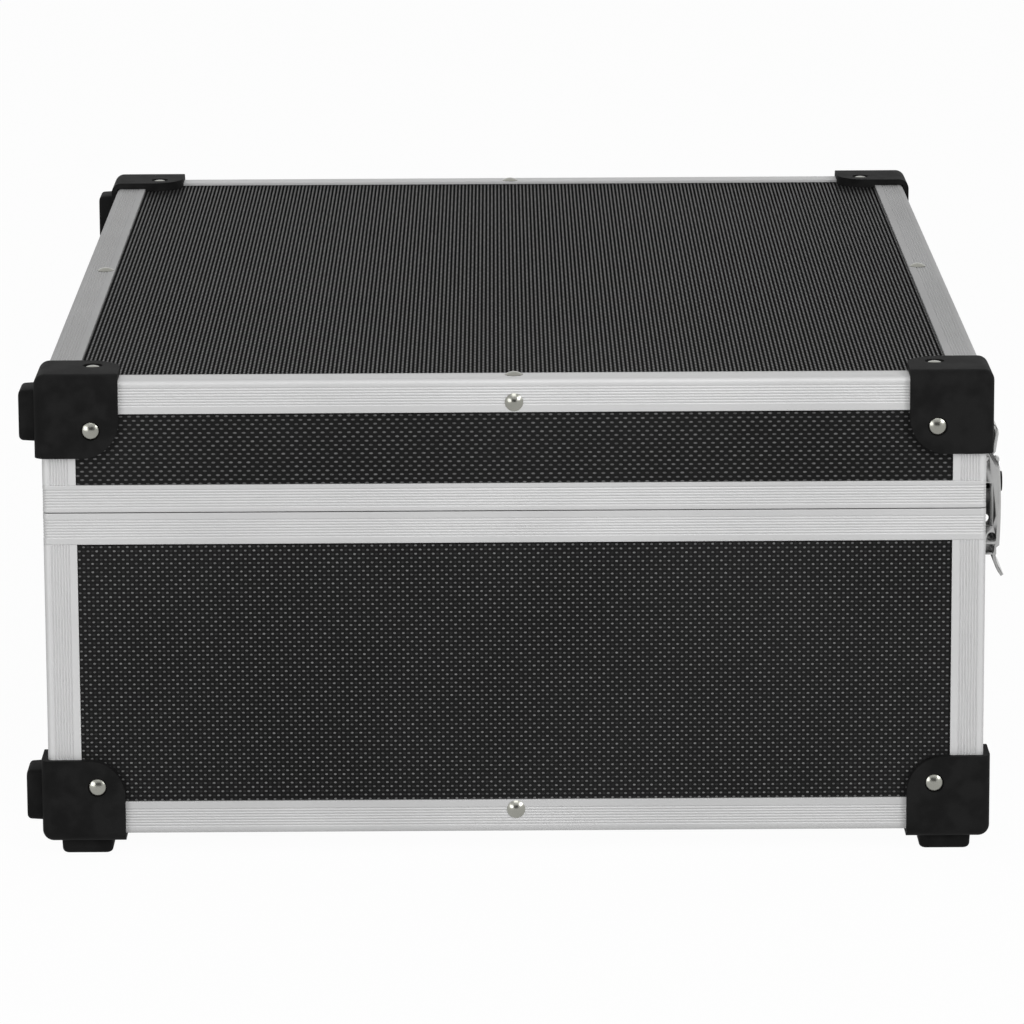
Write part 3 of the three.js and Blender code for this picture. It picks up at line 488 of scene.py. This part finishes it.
def carried(sections, closed=False):
    """Faces for a closed section carried along stations, with both ends capped if it is open."""
    count, around = sections.shape[:2]
    faces = weave(count, around, closed, True)
    if not closed:
        faces.append(list(range(around)))
        faces.append(list(range((count - 1) * around, count * around)))
    return sections.reshape(-1, 3), faces


def gathered(shells):
    """Joins several shells, each with its points and faces, into one mesh."""
    points, faces, start = [], [], 0
    for shell_points, shell_faces in shells:
        flat = np.asarray(shell_points).reshape(-1, 3)
        points.append(flat)
        faces += [[i + start for i in face] for face in shell_faces]
        start += len(flat)
    return np.concatenate(points), faces


def round_edges(piece, width, least_angle, harden):
    """Rounds a piece's edges over an angle in degrees with a narrow bevel."""
    bevel = piece.modifiers.new("rounding", "BEVEL")
    bevel.width = width
    bevel.segments = 2
    bevel.limit_method = "ANGLE"
    bevel.angle_limit = math.radians(least_angle)
    bevel.harden_normals = harden


# %% [markdown]
# ## The edge frame
#
# Aluminium angles follow the twelve edges of the box. The rims cut the upright ones in two, so there
# are sixteen. Each has one section: two legs with seven fine grooves in the middle of each, a
# rounded outer corner and a thin wall. The depth of a groove is a cosine between nought and one,
# raised to the power one and a half, which keeps the lands between the grooves wide and flat, as
# the die does. The uprights have deeper grooves. The section is then carried straight from one end
# of the node's box to the other.

# %% The angle's section
groove_pitch = 1.0 * mm
groove_depth = 0.23 * mm
post_groove_depth = 0.38 * mm
groove_count = 7
groove_power = 1.5
corner_radius = 2.0 * mm
corner_points = 7
wall = 1.0 * mm
edge_margin = 0.25 * mm
edge_bevel = 0.08 * mm
leg_points = 78


def groove(distance, depth=groove_depth):
    """Depth of the grooves at a distance from the middle of the leg."""
    phase = distance / groove_pitch
    inside = np.abs(phase) < groove_count / 2
    return inside * depth * (0.5 + 0.5 * np.cos(2 * np.pi * phase)) ** groove_power


def grooved_leg(leg, depth):
    """Points from the free edge of a leg to its rounded corner: distance along, depth."""
    along = np.linspace(leg - edge_margin, corner_radius, leg_points)
    return np.stack([along, groove(along - leg / 2, depth)], 1)


def angle_section(leg, depth):
    """The closed section of an angle whose outer corner lies at the origin."""
    first = grooved_leg(leg, depth)
    turn = np.radians(np.linspace(270, 180, corner_points)[1:-1])
    corner = corner_radius * (1 + np.stack([np.cos(turn), np.sin(turn)], 1))
    lip = [[edge_bevel, leg], [wall, leg], [wall, wall], [leg, wall], [leg, edge_bevel]]
    return np.concatenate([first, corner, first[::-1, ::-1], lip])


# %% The sixteen angles
names = sorted(frame["nodes"])
angles = [n for n in names if "_edge_" in n or "_post_" in n]


def outward_signs(name):
    """On which side of the case a node lies, read from its name: 1 or -1 for each axis."""
    words = name.split("_")
    return [1 if side in words else -1 for side in ("front", "far", "top")]


for name in angles:
    low, high = (np.array(corner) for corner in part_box(name))
    long_axis = int(np.argmax(high - low))
    first_axis, second_axis = [a for a in range(3) if a != long_axis]
    outward = outward_signs(name)
    depth = post_groove_depth if "_post_" in name else groove_depth
    section = angle_section((high - low)[first_axis], depth)
    sections = np.zeros((2, len(section), 3))
    for station, place in enumerate((low[long_axis], high[long_axis])):
        sections[station, :, long_axis] = place
        for axis, inward in ((first_axis, section[:, 0]), (second_axis, section[:, 1])):
            outer = high[axis] if outward[axis] > 0 else low[axis]
            sections[station, :, axis] = outer - outward[axis] * inward
    body = "lid" if name.startswith(("top_", "lid_")) else "base"
    finish = satin["XYZ"[long_axis]]
    # The two upper end edges take the aluminium with the painted highlight on top.
    if name in ("top_edge_near", "top_edge_far"):
        finish = end_top_painted_light
    make_piece(f"angle_{name}", *carried(sections), finish, body, "frame", [name])
print("angles:", len(angles))

# %% [markdown]
# ## The two rims
#
# Where the shells meet, each has a closed ring. The lower one carries a thin tongue and the upper
# one a channel, so dust stays out. Both are one section carried round a rectangle with rounded
# corners. At a corner the outer points fan round the radius, and the points that lie deeper than
# the radius share one mitre, so the ring never crosses itself.

# %% Rims
ledge = 7.15 * mm
skirt = 8 * mm
tongue_near = 2.5 * mm
tongue_far = 3.7 * mm
tongue_height = 2.2 * mm
channel_depth = 3 * mm


def rim_outer(height):
    """Outer face of a rim from bottom to top: distance in, height."""
    up = np.linspace(edge_margin, height - edge_margin, leg_points)
    face = np.stack([groove(up - height / 2), up], 1)
    return np.concatenate([[[edge_bevel, 0]], face, [[edge_bevel, height]]])


def ring_sections(low, high, section):
    """Carries a section of (distance in, height) round the rectangle from low to high."""
    turn = np.radians(np.linspace(0, 90, corner_points))
    stations = []
    for quarter in range(4):
        fan = turn + quarter * np.pi / 2
        side = np.array([[1, 1], [-1, 1], [-1, -1], [1, -1]])[quarter]
        stations += [(side, (np.cos(a), np.sin(a))) for a in fan]
    sides = np.array([s for s, _ in stations], float)
    ways = np.array([w for _, w in stations])
    middle = (low[:2] + high[:2]) / 2
    centres = middle + sides * ((high[:2] - low[:2]) / 2 - corner_radius)
    inset = section[:, 0][None, :, None]
    flat = centres[:, None] + np.maximum(corner_radius - inset, 0) * ways[:, None]
    flat = flat - np.maximum(inset - corner_radius, 0) * sides[:, None]
    tall = np.broadcast_to(low[2] + section[:, 1], flat.shape[:2])
    return np.concatenate([flat, tall[..., None]], 2)


def rim_section(name, height):
    """The closed section of a rim, as distance in and height over the rim's own foot."""
    lip = ledge - wall
    if name == "base_rim":
        inner = [[tongue_near, 0], [tongue_near, tongue_height]]
        inner += [[tongue_far, tongue_height], [tongue_far, 0], [ledge, 0], [ledge, -skirt]]
        inner += [[lip, -skirt], [lip, -wall], [wall, -wall], [wall, -height]]
        base = height
    else:
        web = channel_depth + wall
        inner = [[wall, height], [wall, web], [lip, web], [lip, skirt], [ledge, skirt], [ledge, 0]]
        inner += [[lip, 0], [lip, channel_depth], [wall, channel_depth], [wall, 0]]
        base = 0
    return np.concatenate([rim_outer(height), np.array(inner) + [0, base]])


post_gap = 0.05 * mm
base_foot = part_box("base_post_near_front")[1][2] + post_gap
base_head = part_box("base_rim")[1][2] - tongue_height
lid_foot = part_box("lid_rim")[0][2]
lid_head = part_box("lid_post_near_front")[0][2] - post_gap
rim_spans = {"base_rim": (base_foot, base_head), "lid_rim": (lid_foot, lid_head)}
for name, (foot, head) in rim_spans.items():
    low, high = (np.array(corner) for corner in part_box(name))
    low[2] = foot
    rings = ring_sections(low, high, rim_section(name, head - foot))
    body = name.split("_")[0]
    make_piece(f"ring_{name}", *carried(rings, closed=True), rim_satin, body, "frame", [name])
    print(name, "height:", round((head - foot) / mm, 2))

# %% [markdown]
# ## Corner guards
#
# A guard is three leaves that meet in a rounded corner. Its skin is worked out from one rule: take a
# point on a sharp cube corner, find the nearest point of a smaller box that lies a radius deeper,
# and move to exactly one radius from it. Flat parts stay flat, edges become quarter rounds and the
# tip becomes part of a ball. The free corner of each leaf is rounded in its own plane first. The
# inner side follows the aluminium and steps down to the board, as a moulded part does.
#
# A rivet sits in a round recess, so a leaf with a rivet needs a hole. Its flat part is a loft from
# the leaf's border to the circle of the recess: each border point slides towards the middle.

# %% Sizes of a guard
front_guard = [np.array(corner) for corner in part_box("top_guard_near_front")]
case_low = np.minimum(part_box("base_rim")[0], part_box("bottom_edge_near")[0])
case_high = np.maximum(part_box("lid_rim")[1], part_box("top_edge_near")[1])
guard_size = front_guard[1][2] - front_guard[0][2]
guard_skin = front_guard[1][2] - case_high[2]
guard_round = 4 * mm
leaf_round = 13 * mm
round_points = 8
corner_rings = 11
first_flat = 6.5 * mm
leg_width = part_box("bottom_edge_near")[1][2] - case_low[2]
reach = guard_size - guard_skin
step = 0.02 * mm
guard_rivet_inset = 17.4 * mm
rivet_radius = 3.2 * mm
rivet_rise = 1.15 * mm
sunk = 0.9 * mm
recess_radius = rivet_radius + 0.22 * mm
print("guard:", round(guard_size / mm, 2), "skin:", round(guard_skin / mm, 2))

# %% The guard's skin
def leaf_samples():
    """Distances along a leaf: dense on the edge's round and on the free corner."""
    turn = np.tan(np.radians(np.linspace(45, 0, round_points)))
    rounded = guard_round - guard_skin - guard_round * turn
    flat = [first_flat, leg_width - step, leg_width + step]
    return np.concatenate([rounded, flat, np.linspace(reach - leaf_round, reach, corner_rings)])


def leaf_points(normal_axis):
    """Outer and inner points of one leaf, on a square grid.

    The outer side lies one radius from a box that lies a radius deeper. The free corner's square
    rings are shrunk to circles: each point's distance becomes the larger of its two parts."""
    along = leaf_samples()
    a, b = np.meshgrid(along, along, indexing="ij")
    da, db = (np.maximum(v - (reach - leaf_round), 0) for v in (a, b))
    length = np.hypot(da, db)
    shrink = np.divide(np.maximum(da, db), length, out=np.ones_like(length), where=length > 0)
    a, b = a - da * (1 - shrink), b - db * (1 - shrink)
    first, second = [axis for axis in range(3) if axis != normal_axis]
    sharp = np.zeros((*a.shape, 3))
    sharp[..., first], sharp[..., second], sharp[..., normal_axis] = a, b, -guard_skin
    core = np.maximum(sharp, guard_round - guard_skin)
    away = sharp - core
    outer = core + guard_round * away / np.linalg.norm(away, axis=-1, keepdims=True)
    inner = np.maximum(sharp, 0)
    over_board = (a > leg_width) & (b > leg_width)
    inner[..., normal_axis] = np.where(over_board, wall, 0)
    return outer, inner


def leaf_middle(normal_axis):
    """Where a leaf's rivet goes, on the leaf's outer side."""
    middle = np.full(3, guard_rivet_inset)
    middle[normal_axis] = -guard_skin
    return middle


def recessed_flat(outer, normal_axis, flat_from):
    """The flat part of a leaf as a loft from its border to a round recess.

    The recess's floor stays open in the middle, where the rivet's head covers it."""
    sides = (
        outer[flat_from, flat_from:-1],
        outer[flat_from:-1, -1],
        outer[-1, :flat_from:-1],
        outer[:flat_from:-1, flat_from],
    )
    border = np.concatenate(sides)
    middle = leaf_middle(normal_axis)
    spokes = border - middle
    spokes /= np.linalg.norm(spokes, axis=1, keepdims=True)
    inward = np.eye(3)[normal_axis]
    border_share = 0.45
    rim = middle + spokes * recess_radius
    rings = [border, border * border_share + rim * (1 - border_share)]
    # Each further ring is the recess's rim, wider by millimetres and deeper by a share.
    for wider, deeper in ((0.25, 0), (0.05, 0), (0, 0.2), (0, 1), (-0.6, 1)):
        rings.append(middle + spokes * (recess_radius + wider * mm) + inward * deeper * sunk)
    return np.stack(rings), weave(len(rings), len(border), close_columns=True)


def guard_shells(footed):
    """The three leaves, with outer side, inner side and the strips along their free edges."""
    shells = []
    flat_from = round_points - 1
    for normal_axis in range(3):
        outer, inner = leaf_points(normal_axis)
        count = len(outer)
        shells.append((inner, weave(count, count)))
        if normal_axis in footed:
            shells.append((outer, weave(count, count)))
        else:
            shells.append((outer[: flat_from + 1], weave(flat_from + 1, count)))
            shells.append((outer[flat_from:, : flat_from + 1], weave(count - flat_from, flat_from + 1)))
            shells.append(recessed_flat(outer, normal_axis, flat_from))
        for edge in ((-1, slice(None)), (slice(None), -1)):
            shells.append((np.stack([outer[edge], inner[edge]]), weave(2, count)))
    return shells


# %% [markdown]
# The feet are pads that stand out from the guard's bottom and back leaves. Each is a stack of
# rounded squares: the first lies inside the leaf, the sides lean in a little as a mould needs, and
# the last ones shrink round a small radius to the flat sole.

# %% Feet
foot_size = 18.6 * mm
foot_height = case_low[2] - guard_skin
foot_inset = 6.2 * mm
foot_low = foot_inset - guard_skin
foot_round = 1.6 * mm
foot_sunk = 0.8 * mm
foot_lean = 0.3 * mm
foot_corner = 3 * mm
least_corner = 1 * mm
foot_turn = 15


def foot_shell(normal_axis):
    """One pad as a stack of rounded squares with its sole closed."""
    turn = np.radians(np.linspace(0, 90, 6))
    out = np.concatenate([[-foot_sunk], foot_height - foot_round + foot_round * np.sin(turn)])
    inset = np.concatenate([[0], foot_lean + foot_round * (1 - np.cos(turn))])
    around = np.radians(np.arange(0, 360, foot_turn) + foot_turn / 2)
    ways = np.stack([np.cos(around), np.sin(around)], 1)
    half = foot_size / 2 - inset[:, None, None]
    radius = np.maximum(foot_corner - inset, least_corner)[:, None, None]
    ring = foot_low + foot_size / 2 + np.sign(ways) * (half - radius) + radius * ways
    points = np.zeros((len(out), len(around), 3))
    points[..., [axis for axis in range(3) if axis != normal_axis]] = ring
    points[..., normal_axis] = -guard_skin - out[:, None]
    return carried(points)


# %% Eight guards
def to_corner(points, corner, signs):
    """Turns points that count inwards from a corner into places in the model."""
    return corner - signs * np.asarray(points).reshape(-1, 3)


rivet_places = {"base": [], "lid": []}
for name in [n for n in names if "_guard_" in n]:
    signs = np.array(outward_signs(name))
    corner = np.where(signs > 0, case_high, case_low)
    body = "lid" if signs[2] > 0 else "base"
    footed = [axis for axis in (0, 2) if signs[axis] < 0]
    points, faces = gathered(guard_shells(footed) + [foot_shell(axis) for axis in footed])
    points = to_corner(points, corner, signs)
    guard = make_piece(f"moulded_{name}", points, faces, guard_plastic, body, "guard", [name], sharp=40)
    round_edges(guard, 0.45 * mm, 50, harden=False)
    for axis in range(3):
        if axis not in footed:
            way = np.eye(3)[axis] * signs
            place = to_corner(leaf_middle(axis), corner, signs)[0] - way * sunk
            rivet_places[body].append((place, way, sunk))
print("guard faces:", len(faces))

# %% [markdown]
# ## Rivets and screws
#
# A rivet's head is a low dome turned about its axis: its height falls with the square of the radius,
# and a short rim goes down into the surface. One on each free leaf of a guard holds the guard, and
# one in the middle of each leg of an edge holds the board. Hinge screws are the same form, lower and
# smaller. All rivets of one body make one mesh, and so do its screws.

# %% Domes
dome_fall = 0.9
dome_skirt = 0.05 * mm
dome_turn = 15


def domes(places, radius):
    """Domed heads at places, each given as a point, the way it faces and its height."""
    share = np.linspace(0, 1, 9)
    rims = np.append(share, 1.0) * radius
    around = np.radians(np.arange(0, 360, dome_turn))
    shells = []
    for place, way, height in places:
        rise = np.append(height * (1 - dome_fall * share**2), -dome_skirt)
        side = np.roll(way, 1)
        other = np.cross(way, side)
        circle = np.cos(around)[:, None] * side + np.sin(around)[:, None] * other
        rings = place + rims[:, None, None] * circle + rise[:, None, None] * np.asarray(way)
        shells.append(carried(rings))
    return gathered(shells)


edge_rivet_inset = 8.3 * mm
for name in [n for n in names if "_edge_" in n]:
    low, high = (np.array(corner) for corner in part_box(name))
    side_axis = 0 if name.endswith(("_front", "_back")) else 1
    outward = outward_signs(name)
    body = "lid" if outward[2] > 0 else "base"
    middle = (low + high) / 2
    for face_axis, other_axis in ((side_axis, 2), (2, side_axis)):
        place, facing = middle.copy(), np.zeros(3)
        place[face_axis] = high[face_axis] if outward[face_axis] > 0 else low[face_axis]
        outer = high[other_axis] if outward[other_axis] > 0 else low[other_axis]
        place[other_axis] = outer - outward[other_axis] * edge_rivet_inset
        facing[face_axis] = outward[face_axis]
        rivet_places[body].append((place, facing, rivet_rise))
for body, places in rivet_places.items():
    make_piece(f"rivets_{body}", *domes(places, rivet_radius), rivet_nickel, body, "steel")
    print(body, "rivets:", len(places))

# %% Hinge screws
screw_radius = 1.9 * mm
screw_rise = 0.5 * mm
screw_stand_off = 1.25 * mm
screw_shares = (0.14, 0.5, 0.86)
screw_height_share = 0.66
seam_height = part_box("lid_rim")[0][2]
for body in ("base", "lid"):
    places = []
    for end in ("near", "far"):
        low, high = (np.array(corner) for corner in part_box(f"hinge_{body}_leaf_{end}"))
        edge = high[2] if body == "lid" else low[2]
        height = seam_height + (edge - seam_height) * screw_height_share
        for share in screw_shares:
            along = low[1] + (high[1] - low[1]) * share
            place = np.array([case_low[0] - screw_stand_off, along, height])
            places.append((place, np.array([-1.0, 0, 0]), screw_rise))
    make_piece(f"hinge_screws_{body}", *domes(places, screw_radius), rivet_nickel, body, "steel")
    print(body, "hinge screws:", len(places))

# %% [markdown]
# ## Latches, hinges, stays and handle
#
# Most of these are pressed from sheet, and the grip and the locks are moulded or turned. Their
# solids already have the real outlines. What they lack is the soft edge that catches light. A copy
# of each solid is merged, its flat facets are joined, and a narrow bevel rounds every edge over
# thirty degrees. The copy then stands for the solid.

# %% Softened copies
same_corner = 1e-6


def softened(node, finish, width):
    """A copy of a solid with its edges rounded."""
    body = frame["nodes"][node]["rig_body"]
    mesh = frame["nodes"][node].data.copy()
    work = bmesh.new()
    work.from_mesh(mesh)
    bmesh.ops.remove_doubles(work, verts=work.verts, dist=same_corner)
    bmesh.ops.dissolve_limit(work, angle_limit=math.radians(0.5), verts=work.verts, edges=work.edges)
    bmesh.ops.recalc_face_normals(work, faces=work.faces)
    work.to_mesh(mesh)
    work.free()
    mesh.polygons.foreach_set("use_smooth", np.ones(len(mesh.polygons), bool))
    mesh.materials.clear()
    mesh.materials.append(finish)
    piece = bpy.data.objects.new(f"soft_{node}", mesh)
    bpy.context.scene.collection.objects.link(piece)
    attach(piece, body)
    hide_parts(node)
    round_edges(piece, width, 30, harden=True)


pressed = [n for n in names if n.startswith(("latch_", "handle_bracket", "stay_"))]
for name in pressed:
    softened(name, bright_nickel, 0.18 * mm)
for name in [n for n in names if n.startswith("hinge_")]:
    softened(name, worn_nickel, 0.12 * mm)
for name in [n for n in names if n.startswith("lock_")]:
    softened(name, lock_plastic, 0.15 * mm)
softened("handle_grip", handle_plastic, 0.8 * mm)
print("pressed pieces:", len(pressed))

# %% [markdown]
# ## Boards and lining
#
# The boards are flat, so their solids stay and only get a skin. End walls, side walls and flat
# boards differ in the two axes that the pattern of ovals runs along.

# %% Finish the boards and the lining
for name in names:
    if name.endswith("_panel"):
        finish = flat_skin
    elif "_wall_" in name:
        ends, sides = end_skin, side_skin
        if name.startswith("lid_"):
            ends, sides = lid_end_skin, lid_side_skin
        finish = ends if name.endswith(("near", "far")) else sides
    elif name.endswith("_liner"):
        finish = felt
    else:
        continue
    board = frame["nodes"][name].data
    board.materials.clear()
    board.materials.append(finish)
    print(name, "has", finish.name)

# %% [markdown]
# ## Floor, world and lamps
#
# The floor and the world are white to the camera, and to metal, but light the case only softly.
# Light Path tells a ray from the camera, or one off metal, from a ray that carries light. A small
# part of the floor's own shading stays, so that the case's shadow shows. Three large lamps give the
# rest: one on the right that makes the bright spots on the rivets, a lower one on the left, and one
# high above the camera.

# %% Floor and world
white = (1, 1, 1, 1)
sky_strength = 0.24
glow_share = 0.97
floor_half = 12
floor_height = -0.2 * mm


def seen_directly(tree):
    """1 for rays from the camera, off metal or through glass, and 0 for rays that carry light."""
    path = add_node(tree, "ShaderNodeLightPath").outputs
    seen = calc(tree, "MAXIMUM", path["Is Camera Ray"], path["Is Glossy Ray"])
    return calc(tree, "MAXIMUM", seen, path["Is Transmission Ray"])


def flat_sheet(name, corners, finish):
    """A sheet with four corners, which belongs to the room and not to the case."""
    mesh = bpy.data.meshes.new(name)
    mesh.from_pydata(corners, [], [(0, 1, 2, 3)])
    mesh.materials.append(finish)
    sheet = bpy.data.objects.new(name, mesh)
    bpy.context.scene.collection.objects.link(sheet)
    return sheet


world = bpy.data.worlds.new("studio")
world.use_nodes = True
bpy.context.scene.world = world
sky = world.node_tree
sky.nodes.clear()
soft = add_node(sky, "ShaderNodeBackground", {"Color": white, "Strength": sky_strength}).outputs[0]
plain = add_node(sky, "ShaderNodeBackground", {"Color": white, "Strength": 1.0}).outputs[0]
shown = add_node(sky, "ShaderNodeMixShader", {0: seen_directly(sky), 1: soft, 2: plain}).outputs[0]
add_node(sky, "ShaderNodeOutputWorld", {0: shown})

pale = bpy.data.materials.new("pale_floor")
pale.use_nodes = True
tree = pale.node_tree
tree.nodes.clear()
matt = add_node(tree, "ShaderNodeBsdfDiffuse", {"Color": white}).outputs[0]
glow = add_node(tree, "ShaderNodeEmission", {"Color": white, "Strength": 1.0}).outputs[0]
share = calc(tree, "MULTIPLY", seen_directly(tree), glow_share)
mixed = add_node(tree, "ShaderNodeMixShader", {0: share, 1: matt, 2: glow}).outputs[0]
add_node(tree, "ShaderNodeOutputMaterial", {0: mixed})

ways = ((-1, -1), (1, -1), (1, 1), (-1, 1))
corners = [(floor_half * across, floor_half * along, floor_height) for across, along in ways]
floor = flat_sheet("floor", corners, pale)
print("floor at height:", floor_height)

# %% Lamps
lamp_target = (0, 0, 0.1)


def add_lamp(name, place, size, power):
    """A square lamp that faces the case."""
    data = bpy.data.lights.new(name, "AREA")
    data.size, data.energy = size, power
    lamp = bpy.data.objects.new(name, data)
    bpy.context.scene.collection.objects.link(lamp)
    back = np.array(place) - np.array(lamp_target)
    back /= np.linalg.norm(back)
    right = np.cross((0, 0, 1), back)
    right /= np.linalg.norm(right)
    turn = Matrix((right, np.cross(back, right), back)).transposed().to_4x4()
    lamp.matrix_world = Matrix.Translation(place) @ turn
    print(name, "watts:", power)


add_lamp("right_lamp", place=(1.7, -2.3, 1.2), size=0.8, power=27)
add_lamp("left_lamp", place=(-1.7, -2.7, 0.5), size=1.1, power=17)
add_lamp("top_lamp", place=(0.0, -1.9, 2.2), size=1.2, power=14.5)

# %% [markdown]
# Bright metal needs something dark to reflect, or it looks like plaster. A dark screen behind the
# camera does that, as in a photographer's studio. The camera never sees it, and it takes no part in
# the soft light or the shadows.

# %% The dark screen
screen_half = 1.0
screen_foot = 0.02
screen_head = 1.1
screen_away = -3.0
screen_level = 40
dark = bpy.data.materials.new("dark_screen")
dark.use_nodes = True
dark.node_tree.nodes["Principled BSDF"].inputs["Base Color"].default_value = grey(screen_level)
corners = [(-screen_half, screen_away, screen_foot), (screen_half, screen_away, screen_foot)]
corners += [(screen_half, screen_away, screen_head), (-screen_half, screen_away, screen_head)]
screen = flat_sheet("dark_screen", corners, dark)
screen.visible_camera = False
screen.visible_diffuse = False
screen.visible_shadow = False

bpy.context.scene.view_settings.view_transform = "Standard"
print("screen at:", screen_away)
